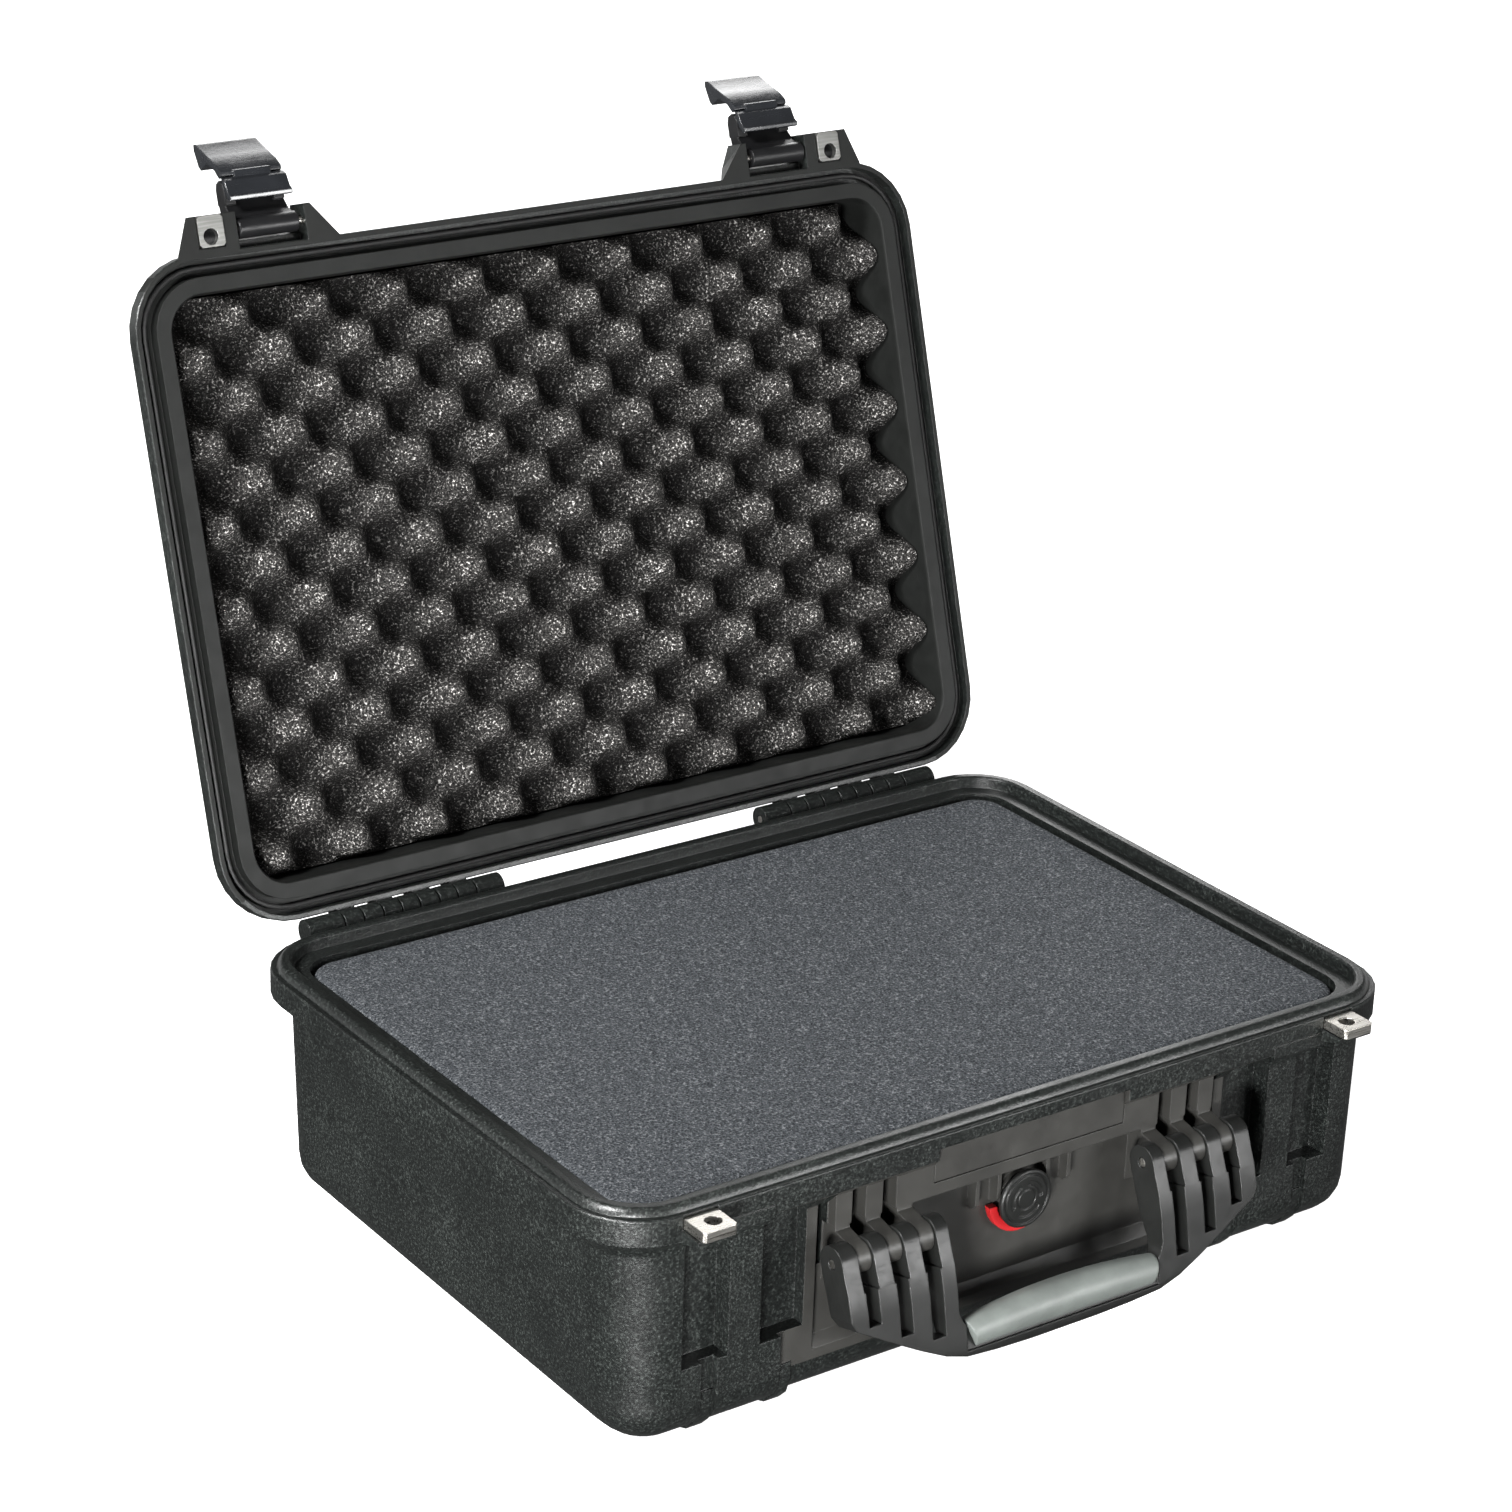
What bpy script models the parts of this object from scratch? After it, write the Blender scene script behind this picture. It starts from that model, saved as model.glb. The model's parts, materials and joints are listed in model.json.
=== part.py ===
"""Hard equipment case with an open lid: shells, foam set, seals, double-throw latches, handle, hinges.

All lengths below are millimetres and become metres when a mesh is made. X runs along the case, -Y is the
front, +Z is up. The floor under the skids is z = 0. The lid and everything on it is drawn closed, then
hung on an empty that stands on the hinge axis and turns it open.
"""

import math

import bmesh
import bpy
from mathutils import Vector

MM = 0.001
GAP = 0.35  # clearance between pieces that touch on the real case

# Driving dimensions
RIM_LENGTH = 470.0
RIM_DEPTH = 333.0
RIM_RADIUS = 38.0
PART_Z = 125.0  # parting plane between base and lid
LID_HEIGHT = 46.0
LID_OPEN = 107.0  # degrees from closed
HANDLE_SWING = 15.0  # degrees out from hanging straight down
CASE_SHIFT_Y = -62.0  # puts the origin under the middle of the opened case

HALF_X = RIM_LENGTH / 2
HALF_Y = RIM_DEPTH / 2

# Base shell
BASE_BOTTOM = 3.0
BASE_FLOOR = 8.0
BOTTOM_RADIUS = 20.0
COLLAR_BOTTOM = 112.0
TONGUE_TOP = 129.0
WALL_TOP = (10.5, 103.0)  # inset from the rim outline, height
WALL_LOW_INSET = 13.0
INNER_TOP = (19.5, 122.5)
INNER_LOW_INSET = 20.5
FRONT_INSET = 8.8  # the front wall stands closer to the rim outline than the other walls
FIELD_RISE = 3.8  # height of the corner and strike columns over the front wall
COLUMNS = ((138.4, 173.3), (181.9, 240.0))
INTERIOR = ((27.0, 5.5), (19.6, 11.0), (16.6, 21.0), (16.6, 140.0))  # inset and height, inside the walls
POCKET_Y = -150.5
POCKET_Z = (43.0, 111.3)
POCKETS = ((124.0, 150.5), (168.0, 193.0))
RECESS_X = 118.0  # half width of the hollow behind the handle
RECESS_Y = -154.0
SKIDS = (134.5, 177.6)
SKID_RADIUS = 4.2

# Latches, handle, hinges, padlock plates, valve
LATCH_X = 154.0
LATCH_WIDTH = 33.0
LINK_PIN = (-176.0, PART_Z + 5.0)
LEVER_PIN = (-196.0, PART_Z + 16.0)
CHEEK_WIDTH = 6.0
BASE_HASP = ((179.4, 197.4), (-182.2, -164.5))
LID_HASP = ((179.6, 193.6), (-184.4, -168.8))
HASP_HOLE = (187.2, -174.0, 4.0)
HINGE_Y = HALF_Y + 7.0
HINGE_Z = 123.7
HINGE_RADIUS = 6.8
HINGE_PIN_RADIUS = 1.9
HINGE_EDGES = (82.0, 99.0, 110.2, 121.0, 132.3, 142.9, 153.5, 164.9, 176.0, 196.5)
HANDLE_Y = -173.5
HANDLE_Z = 81.0
HANDLE_BARREL = 9.0
HANDLE_PIN_RADIUS = 2.2
HANDLE_GAPS = ((68.0, 77.5), (86.2, 95.0), (103.5, 112.2))
HANDLE_X = (61.0, 121.0)
GRIP_X = 54.6
GRIP_DROP = (38.4, 57.0)
VALVE_Z = 74.5
VALVE_FRONT = -163.5
PLATE_X = 56.5
PLATE_Z = (99.0, 118.0)
BLOCK_Y = -163.5
BLOCK_Z = (92.5, 116.0)


# ---------------------------------------------------------------- scene and materials


def clear_scene():
    for item in list(bpy.data.objects):
        bpy.data.objects.remove(item, do_unlink=True)


def material(name, colour, roughness, metallic=0.0):
    made = bpy.data.materials.get(name)
    if made:
        return made
    made = bpy.data.materials.new(name)
    made.use_nodes = True
    shader = made.node_tree.nodes["Principled BSDF"]
    shader.inputs["Base Color"].default_value = (*colour, 1.0)
    shader.inputs["Roughness"].default_value = roughness
    shader.inputs["Metallic"].default_value = metallic
    made.diffuse_color = (*colour, 1.0)
    return made


def shell_plastic():
    return material("shell_plastic", (0.035, 0.038, 0.036), 0.45)


def handle_plastic():
    return material("handle_plastic", (0.03, 0.03, 0.03), 0.35)


def latch_plastic():
    return material("latch_plastic", (0.02, 0.021, 0.023), 0.22)


def grip_rubber():
    return material("grip_rubber", (0.30, 0.33, 0.31), 0.55)


def steel():
    return material("steel", (0.62, 0.60, 0.56), 0.28, 1.0)


def seal_rubber():
    return material("seal_rubber", (0.015, 0.015, 0.016), 0.6)


def red_rubber():
    return material("red_rubber", (0.45, 0.02, 0.02), 0.4)


def dark_foam():
    return material("dark_foam", (0.03, 0.03, 0.032), 0.95)


def grey_foam():
    return material("grey_foam", (0.11, 0.12, 0.13), 0.95)


# ---------------------------------------------------------------- mesh helpers


def object_from(mesh_data, name, finish):
    mesh = bpy.data.meshes.new(name)
    bmesh.ops.recalc_face_normals(mesh_data, faces=mesh_data.faces)
    mesh_data.to_mesh(mesh)
    mesh_data.free()
    made = bpy.data.objects.new(name, mesh)
    bpy.context.scene.collection.objects.link(made)
    if finish:
        mesh.materials.append(finish)
    return made


def arc(centre, radius, start, end, steps):
    """Points on an arc in a plane, from start to end in degrees."""
    angles = [math.radians(start + (end - start) * step / steps) for step in range(steps + 1)]
    return [(centre[0] + radius * math.cos(a), centre[1] + radius * math.sin(a)) for a in angles]


def circle(centre, radius, steps):
    return arc(centre, radius, 0, 360, steps)[:-1]


def ring(inset, height, front=0.0, steps=7):
    """One rounded-rectangle loop, a given inset inside the rim outline; front moves its front side out."""
    half_x = HALF_X - inset
    half_y = HALF_Y - inset
    radius = max(RIM_RADIUS - inset, 5.0)
    corners = ((1, 1, 0), (-1, 1, 90), (-1, -1, 180), (1, -1, 270))
    loop = []
    for side_x, side_y, start in corners:
        reach = half_y - radius if side_y > 0 else half_y - radius + front
        centre = (side_x * (half_x - radius), side_y * reach)
        loop += [(x, y, height) for x, y in arc(centre, radius, start, start + 90, steps)]
    return loop


def loft(name, profile, finish, closed=False):
    """A solid through rounded-rectangle loops; the ends are capped, or joined when closed."""
    mesh = bmesh.new()
    loops = [[mesh.verts.new(Vector(p) * MM) for p in ring(*place)] for place in profile]
    pairs = list(zip(loops, loops[1:]))
    if closed:
        pairs.append((loops[-1], loops[0]))
    for low, high in pairs:
        for index in range(len(low)):
            following = (index + 1) % len(low)
            mesh.faces.new((low[index], low[following], high[following], high[index]))
    if not closed:
        mesh.faces.new(loops[0])
        mesh.faces.new(loops[-1])
    return object_from(mesh, name, finish)


def prism(name, outline, span, axis, finish=None):
    """An outline extruded along an axis. The outline holds (y, z), (x, z) or (x, y) for axis X, Y or Z."""
    order = {"X": (2, 0, 1), "Y": (0, 2, 1), "Z": (0, 1, 2)}[axis]
    mesh = bmesh.new()
    ends = []
    for along in span:
        ends.append([])
        for point in outline:
            values = (*point, along)
            ends[-1].append(mesh.verts.new(Vector([values[i] for i in order]) * MM))
    count = len(outline)
    for index in range(count):
        following = (index + 1) % count
        mesh.faces.new((ends[0][index], ends[0][following], ends[1][following], ends[1][index]))
    mesh.faces.new(ends[0])
    mesh.faces.new(ends[1])
    return object_from(mesh, name, finish)


def block(name, x_span, y_span, z_span, chamfer=0.0, finish=None):
    """A box, its long vertical edges cut off when a chamfer is given."""
    (x0, x1), (y0, y1) = sorted(x_span), sorted(y_span)
    c = chamfer
    outline = [(x0 + c, y0), (x1 - c, y0), (x1, y0 + c), (x1, y1 - c)]
    outline += [(x1 - c, y1), (x0 + c, y1), (x0, y1 - c), (x0, y0 + c)]
    if not c:
        outline = [(x0, y0), (x1, y0), (x1, y1), (x0, y1)]
    return prism(name, outline, z_span, "Z", finish)


def rod(name, x_span, centre, radius, finish=None, steps=24):
    """A round bar along X."""
    return prism(name, circle(centre, radius, steps), x_span, "X", finish)


def disc(name, centre, radius, y_span, finish=None, steps=40):
    """A round bar along Y."""
    return prism(name, circle(centre, radius, steps), y_span, "Y", finish)


def mirrored(span, side):
    return tuple(sorted((side * span[0], side * span[1])))


def combine(target, tools, operation):
    """Joins or cuts the tools, keeps the result as the target's mesh and removes the tools."""
    for tool in tools:
        modifier = target.modifiers.new(tool.name, "BOOLEAN")
        modifier.operation = operation
        modifier.object = tool
        modifier.solver = "EXACT"
        graph = bpy.context.evaluated_depsgraph_get()
        result = bpy.data.meshes.new_from_object(target.evaluated_get(graph))
        target.modifiers.clear()
        target.data = result
        bpy.data.objects.remove(tool, do_unlink=True)
    return target


def join(target, *tools):
    return combine(target, tools, "UNION")


def cut(target, *tools):
    return combine(target, tools, "DIFFERENCE")


def smooth(*items):
    for item in items:
        item.data.shade_smooth()
        item.data.set_sharp_from_angle(angle=math.radians(32))


def hang(item, empty, origin):
    """Parents an object drawn in closed-case coordinates to an empty that stands at origin."""
    item.parent = empty
    item.location = -Vector(origin) * MM


def pivot(name, parent, origin, parent_origin, degrees=0.0):
    """An empty on a joint's axis. The axis runs along X."""
    made = bpy.data.objects.new(name, None)
    bpy.context.scene.collection.objects.link(made)
    made.parent = parent
    made.location = (Vector(origin) - Vector(parent_origin)) * MM
    made.rotation_euler = (math.radians(degrees), 0.0, 0.0)
    return made


# ---------------------------------------------------------------- base shell


def wall_profile(low_front, top_front, sink=0.0):
    """(inset, height, front) from the underside to the top of the outer wall."""
    low = WALL_LOW_INSET + sink
    r = BOTTOM_RADIUS
    profile = []
    for step in range(6):
        turn = math.radians(90 * step / 5)
        place = (low + r - r * math.sin(turn), BASE_BOTTOM + 0.8 * sink + r - r * math.cos(turn))
        profile.append((*place, low_front + sink))
    profile.append((WALL_TOP[0] + sink, WALL_TOP[1], top_front + sink))
    return profile


def base_profile():
    """(inset, height) from the middle of the underside, up the wall, over the tongue and down inside."""
    profile = wall_profile(WALL_LOW_INSET - FRONT_INSET, WALL_TOP[0] - FRONT_INSET)
    profile += [(1.5, COLLAR_BOTTOM - 1.5), (0.0, COLLAR_BOTTOM), (0.0, PART_Z - 0.6)]
    profile += [(0.6, PART_Z), (3.2, PART_Z), (3.8, PART_Z + 1.8), (5.2, PART_Z + 3.4), (6.6, TONGUE_TOP)]
    profile += [(9.6, TONGUE_TOP), (10.6, TONGUE_TOP - 1.0), (11.0, INNER_TOP[1]), INNER_TOP]
    profile += [(INNER_LOW_INSET, BASE_FLOOR + 8), (INNER_LOW_INSET + 2.5, BASE_FLOOR + 2.2)]
    profile += [(INNER_LOW_INSET + 8, BASE_FLOOR)]
    return profile


def skid(side_x):
    """A rounded rib under the case, between the columns, turned up at the front and the back."""
    outline = [(-158.6, 26.0), (-158.6, 17.0), (-156.0, 9.0), (-150.5, 3.4), (-143.0, 0.6), (-138.0, 0.0)]
    outline += [(136.0, 0.0), (142.0, 0.8), (149.0, 5.0), (153.8, 12.0), (155.4, 22.0), (150.5, 24.0)]
    outline += [(147.5, 12.0), (138.0, 5.8), (-140.0, 5.8), (-148.5, 12.0), (-151.5, 26.0)]
    return prism("skid", outline, (side_x - SKID_RADIUS, side_x + SKID_RADIUS), "X")


def columns():
    """The raised corner and strike columns, which follow the wall's curve down to the underside."""
    lift = FIELD_RISE - FRONT_INSET
    profile = wall_profile(WALL_LOW_INSET + lift, WALL_TOP[0] + lift, 0.7)
    profile += [(4.5, COLLAR_BOTTOM - 2.0, 1.0), (4.5, COLLAR_BOTTOM + 4.0, 1.0)]
    raised = []
    for side in (-1, 1):
        for span in COLUMNS:
            body = loft("column", profile, None)
            mask = block("mask", mirrored(span, side), (-190.0, -112.0), (-10.0, 130.0))
            combine(body, [mask], "INTERSECT")
            raised.append(cut(body, loft("interior", INTERIOR, None)))
    return raised


def pockets():
    """The dark hollows on each side of both strike columns, and the hollow behind the handle."""
    shapes = []
    for side in (-1, 1):
        for span in POCKETS:
            shapes.append(block("pocket", mirrored(span, side), (POCKET_Y, -175.0), POCKET_Z))
        shapes.append(block("gap", mirrored((112.6, RECESS_X), side), (POCKET_Y, -175.0), (70.0, 111.0)))
    recess = [(-175.0, 92.0), (RECESS_Y, 92.0), (RECESS_Y, 34.0), (-158.5, 27.0), (-175.0, 27.0)]
    return shapes + [prism("recess", recess, (-RECESS_X, RECESS_X), "X")]


def strike(side):
    """The thick flange under the collar, over the column that the latch folds onto."""
    outline = [(-150.0, 103.5), (-161.0, 104.5), (-166.9, 109.5), (-166.9, 116.0), (-150.0, 116.0)]
    return prism("strike", outline, mirrored((148.0, 181.0), side), "X")


def hasp_boss(side):
    outline = [(-150.0, 104.0), (-166.0, 111.0), (-179.5, 116.0), (-179.5, 118.0), (-150.0, 118.0)]
    return prism("boss", outline, mirrored((179.0, 198.6), side), "X")


def hinge_part(side, start, top, name, clear=0.5):
    """Alternate hinge knuckles with their webs. start 0 gives the base's five, 1 gives the lid's four."""
    shapes = []
    for index in range(start, len(HINGE_EDGES) - 1, 2):
        span = mirrored((HINGE_EDGES[index] + clear, HINGE_EDGES[index + 1] - clear), side)
        shapes.append(rod(name, span, (HINGE_Y, HINGE_Z), HINGE_RADIUS))
        shapes.append(prism(name, top, span, "X"))
    return shapes


def handle_lugs(side):
    """Three ribs that run down from the block and end in the knuckles of the handle hinge."""
    shapes = []
    radius = HANDLE_BARREL - 1.6
    outline = [(-150, BLOCK_Z[1] - 6), (BLOCK_Y, BLOCK_Z[1] - 6), (BLOCK_Y, BLOCK_Z[0] - 2)]
    outline += [(HANDLE_Y - radius * 0.5, HANDLE_Z + radius * 0.86), (HANDLE_Y, HANDLE_Z - radius)]
    outline += [(-160, HANDLE_Z - 16), (-150, HANDLE_Z - 22)]
    for low, high in HANDLE_GAPS:
        span = mirrored((low + GAP, high - GAP), side)
        shapes.append(prism("lug", outline, span, "X"))
        shapes.append(rod("lug", span, (HANDLE_Y, HANDLE_Z), radius))
    return shapes


def finger_slots(side):
    """Slots in the block, where the handle's fingers swing."""
    spans = ((78.0, 85.8), (95.4, 103.1))
    return [
        block("slot", mirrored(span, side), (BLOCK_Y - 4, -152), (HANDLE_Z + 2, 110.0)) for span in spans
    ]


def valve_hood():
    """Four short ribs that hang from the block beside the valve, with deep pockets between them."""
    hood = block("hood", (-28.4, 28.4), (-160.2, -150.0), (VALVE_Z, BLOCK_Z[0] + 4))
    pockets_x = ((-26.2, -15.6), (-13.4, 13.4), (15.6, 26.2))
    cut(hood, *[block("pocket", span, (-152.5, -170.0), (VALVE_Z - 5, BLOCK_Z[0])) for span in pockets_x])
    lower = [(-175.0, 60.0), (-175.0, VALVE_Z + 3.5), (-161.0, VALVE_Z + 3.5), (-156.0, VALVE_Z - 1.0)]
    return cut(hood, prism("lower", lower + [(-156.0, 60.0)], (-40.0, 40.0), "X"))


def base_shell():
    shell = loft("base_shell", base_profile(), shell_plastic())
    web = [(164, 113.0), (164, 124.6), (HINGE_Y, 124.9), (HINGE_Y + 4, 119.3), (HINGE_Y - 2, 116.5)]
    join(shell, *columns())
    cut(shell, *pockets())
    for side in (-1, 1):
        join(shell, strike(side), hasp_boss(side))
        join(shell, *[skid(side * place) for place in SKIDS])
        join(shell, *hinge_part(side, 0, web, "knuckle"))
    join(shell, block("block", (-112.2, 112.2), (BLOCK_Y, -148), BLOCK_Z))
    join(shell, valve_hood())
    for side in (-1, 1):
        join(shell, *handle_lugs(side))
        cut(shell, *finger_slots(side))
    join(shell, disc("valve_boss", (0, VALVE_Z), 11.0, (-156.6, -146.0)))
    cut(shell, disc("valve_seat", (0, VALVE_Z), 6.5, (-170.0, -140.0), steps=24))
    cut(shell, block("plate_seat", (-PLATE_X, PLATE_X), (BLOCK_Y - 4, BLOCK_Y + 1.2), PLATE_Z))
    hinge_span = HINGE_EDGES[0] - 1, HINGE_EDGES[-1] - 3.0
    handle_span = HANDLE_GAPS[0][0] - 1, HANDLE_GAPS[-1][1] + 1
    for side in (-1, 1):
        cut(shell, rod("bore", mirrored(hinge_span, side), (HINGE_Y, HINGE_Z), HINGE_PIN_RADIUS + GAP))
        cut(shell, rod("bore", mirrored(handle_span, side), (HANDLE_Y, HANDLE_Z), HANDLE_PIN_RADIUS + GAP))
        hole_x = side * HASP_HOLE[0]
        hole = circle((hole_x, HASP_HOLE[1]), HASP_HOLE[2] + 0.8, 24)
        (low_x, high_x), (_, back_y) = BASE_HASP
        seat_x = mirrored((low_x - GAP, high_x + GAP), side)
        seat = block("seat", seat_x, (-190, back_y + GAP), (117.9, 130.0))
        collar = block("collar", seat_x, (-165.6, -160.0), (123.9, 135.0))
        cut(shell, prism("hole", hole, (100, 122), "Z"), cut(seat, collar))
    smooth(shell)
    return shell


def base_foam():
    """A bottom pad and two cubed layers."""
    heights = (
        ("foam_bottom_pad", 8.6, 22.0),
        ("pluck_foam_lower", 22.4, 71.0),
        ("pluck_foam_upper", 71.4, 121.5),
    )
    layers = []
    for name, low, high in heights:
        inset = INNER_LOW_INSET + 0.6
        edge = inset + 8.0 if low < 10 else inset
        foot = low + 7.4 if low < 10 else low + 0.5
        profile = [(edge, low), (inset, foot), (inset, high - 2), (inset + 2, high)]
        layers.append(loft(name, profile, grey_foam()))
    return layers


# ---------------------------------------------------------------- base fittings


def hasp_plate(name, side, extent, z_span):
    """A stainless plate with the padlock hole."""
    plate = block(name, mirrored(extent[0], side), extent[1], z_span, 1.4, steel())
    hole = circle((side * HASP_HOLE[0], HASP_HOLE[1]), HASP_HOLE[2], 28)
    cut(plate, prism("hole", hole, (z_span[0] - 2, z_span[1] + 2), "Z"))
    smooth(plate)
    return plate


def pin(name, x_span, centre, radius):
    made = rod(name, x_span, centre, radius, steel(), 20)
    smooth(made)
    return made


def nameplate():
    y_span = (BLOCK_Y + 0.1, BLOCK_Y + 0.85)
    x_span = (-PLATE_X + GAP, PLATE_X - GAP)
    return block("nameplate", x_span, y_span, (PLATE_Z[0] + GAP, PLATE_Z[1] - GAP), 0.0, handle_plastic())


def valve():
    """Body through the wall, red seal and the knob."""
    centre = (0, VALVE_Z)
    body = disc("valve_body", centre, 6.1, (-162.6, -145.9), handle_plastic(), 24)
    join(body, disc("flange", centre, 10.5, (-160.2, -157.0), None, 32))
    seal = disc("valve_o_ring", centre, 18.4, (-158.9, -155.0), red_rubber())
    cut(seal, disc("hole", centre, 14.2, (-165, -150), None, 40))
    cut(seal, block("upper", (-30.0, 30.0), (-170.0, -140.0), (VALVE_Z - 2.0, VALVE_Z + 30.0)))
    cut(seal, block("far", (4.0, 30.0), (-170.0, -140.0), (VALVE_Z - 30.0, VALVE_Z + 30.0)))
    knob = disc("valve_knob", centre, 15.0, (VALVE_FRONT, -160.55), handle_plastic(), 48)
    cut(knob, disc("hole", centre, 6.5, (-162.95, -155), None, 24))
    smooth(body, seal, knob)
    return body, seal, knob


# ---------------------------------------------------------------- lid


def lid_profile():
    """(inset, height) over the closed lid, from its top, down the wall, across the rim and up inside."""
    top = PART_Z + LID_HEIGHT
    r = 17.0
    profile = []
    for step in range(6):
        turn = math.radians(90 * step / 5)
        profile.append((12.0 + r - r * math.sin(turn), top - r + r * math.cos(turn)))
    profile += [(10.0, PART_Z + 15), (1.0, PART_Z + 9), (0.0, PART_Z + 8), (0.0, PART_Z + 0.9)]
    profile += [(0.5, PART_Z + 0.35), (2.8, PART_Z + 0.35), (2.8, PART_Z + 7.4), (11.2, PART_Z + 7.4)]
    profile += [(11.2, PART_Z + 0.35), (19.0, PART_Z + 0.35), (20.0, PART_Z + 2), (20.8, top - 12)]
    profile += [(23.5, top - 6.5), (29.0, top - 5)]
    return profile


def tapered(name, near, far, z_span):
    """A solid between two outlines of the same number of (x, y) points."""
    mesh = bmesh.new()
    ends = []
    for outline, height in zip((near, far), z_span):
        ends.append([mesh.verts.new(Vector((x, y, height)) * MM) for x, y in outline])
    for index in range(len(near)):
        following = (index + 1) % len(near)
        mesh.faces.new((ends[0][index], ends[0][following], ends[1][following], ends[1][index]))
    mesh.faces.new(ends[0])
    mesh.faces.new(ends[1])
    return object_from(mesh, name, None)


def latch_ears(side):
    """The outer ear holds the padlock plate, the inner one slopes to the rim; a web closes them behind."""
    wall = -155.0
    low = PART_Z + 0.35
    outer = [(206.3, -166), (199.0, -184.6), (171.9, -184.6), (171.9, wall), (206.3, wall)]
    outer_far = [(193.0, -166), (187.0, -184.6), (171.9, -184.6), (171.9, wall), (193.0, wall)]
    inner = [(133.9, -184.0), (130.5, -184.0), (115.6, -166), (115.6, wall), (133.9, wall)]
    inner_far = [(133.9, -184.0), (132.5, -184.0), (128.0, -166), (128.0, wall), (133.9, wall)]
    shapes = []
    for near, far in ((outer, outer_far), (inner, inner_far)):
        outlines = [[(side * x, y) for x, y in outline] for outline in (near, far)]
        shapes.append(tapered("ear", *outlines, (low, PART_Z + 20)))
    slope = [(-190, PART_Z + 12), (-190, PART_Z + 30), (-160, PART_Z + 30), (-172, PART_Z + 20)]
    for shape in shapes:
        cut(shape, prism("slope", slope, (side * 100, side * 215), "X"))
    web = [(-155, 133.5), (-170.0, 133.5), (-172.3, 137.5), (-174.2, 141.0), (-172.0, 145.0), (-155, 145.0)]
    return [*shapes, prism("web", web, mirrored((130.0, 176.0), side), "X")]


def lid_shell():
    shell = loft("lid_shell", lid_profile(), shell_plastic())
    web = [(163, PART_Z + 0.4), (163, 136), (168, 136), (HINGE_Y + 3.5, 128.6), (HINGE_Y + 0.5, 125.5)]
    for side in (-1, 1):
        join(shell, *latch_ears(side))
        join(shell, *hinge_part(side, 1, web, "knuckle"))
    groove = [(11.2, PART_Z - 1), (11.2, PART_Z + 7.4), (2.8, PART_Z + 7.4), (2.8, PART_Z - 1)]
    cut(shell, loft("groove", groove, None, closed=True))
    for side in (-1, 1):
        (low_x, high_x), (_, back_y) = LID_HASP
        seat_x = mirrored((low_x - GAP, high_x + GAP), side)
        cut(shell, block("seat", seat_x, (-190, back_y + GAP), (PART_Z - 2, PART_Z + 3.4)))
        hole = circle((side * HASP_HOLE[0], HASP_HOLE[1]), HASP_HOLE[2] + 0.8, 24)
        cut(shell, prism("hole", hole, (PART_Z - 2, PART_Z + 40), "Z"))
        hinge_span = HINGE_EDGES[0] - 1, HINGE_EDGES[-1] - 3.0
        cut(shell, rod("bore", mirrored(hinge_span, side), (HINGE_Y, HINGE_Z), HINGE_PIN_RADIUS + GAP))
        pin_span = mirrored((128.0, 178.0), side)
        cut(shell, rod("bore", pin_span, LINK_PIN, 1.9 + GAP))
        room = prism("room", circle(LINK_PIN, 6.4, 24), mirrored((133.9, 171.9), side), "X")
        cut(shell, room)
    smooth(shell)
    return shell


def lid_o_ring():
    profile = [(inset, PART_Z + height) for inset, height in arc((6.8, 5.75), 1.35, 0, 360, 8)[:-1]]
    seal = loft("lid_o_ring", profile, seal_rubber(), closed=True)
    smooth(seal)
    return seal


def lid_foam():
    top = PART_Z + LID_HEIGHT - 5.5
    profile = [(29.5, top), (24.2, top - 1.6), (21.6, top - 7.5), (21.2, PART_Z + 8), (23, PART_Z + 5)]
    return loft("lid_foam", profile, dark_foam())


# ---------------------------------------------------------------- latches


def latch_link(name, side):
    """A barrel in the ears, a plate, and two cheeks that hold the lever's pin."""
    x0, x1 = LATCH_X - LATCH_WIDTH / 2, LATCH_X + LATCH_WIDTH / 2
    y1, z1 = LINK_PIN
    y2, z2 = LEVER_PIN
    link = rod(name, mirrored((x0, x1), side), LINK_PIN, 5.2, latch_plastic())
    plate = [(y1 + 1, z1 + 4.8), (y1 - 6, z1 + 13.5), (y2 + 5.6, z2 + 4.0), (y2 + 5.6, z2 - 1.2)]
    plate += [(y1 - 7, z1 + 4.2), (y1 - 1.4, z1 - 4.5)]
    join(link, prism("plate", plate, mirrored((x0, x1), side), "X"))
    cheek = [(y2 + 8, z2 + 4.4), (y2, z2 + 4.4), (y2 - 3.1, z2 + 3.1), (y2 - 4.4, z2), (y2 - 3.1, z2 - 3.1)]
    cheek += [(y2, z2 - 4.4), (y2 + 8, z2 - 4.4)]
    for span in ((x0, x0 + CHEEK_WIDTH), (x1 - CHEEK_WIDTH, x1)):
        join(link, prism("cheek", cheek, mirrored(span, side), "X"))
    cut(link, rod("bore", mirrored((x0 - 1, x1 + 1), side), LINK_PIN, 1.9 + GAP, steps=20))
    cut(link, rod("bore", mirrored((x0 + 1.5, x1 - 1.5), side), LEVER_PIN, 1.6 + GAP, steps=20))
    smooth(link)
    return link


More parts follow.
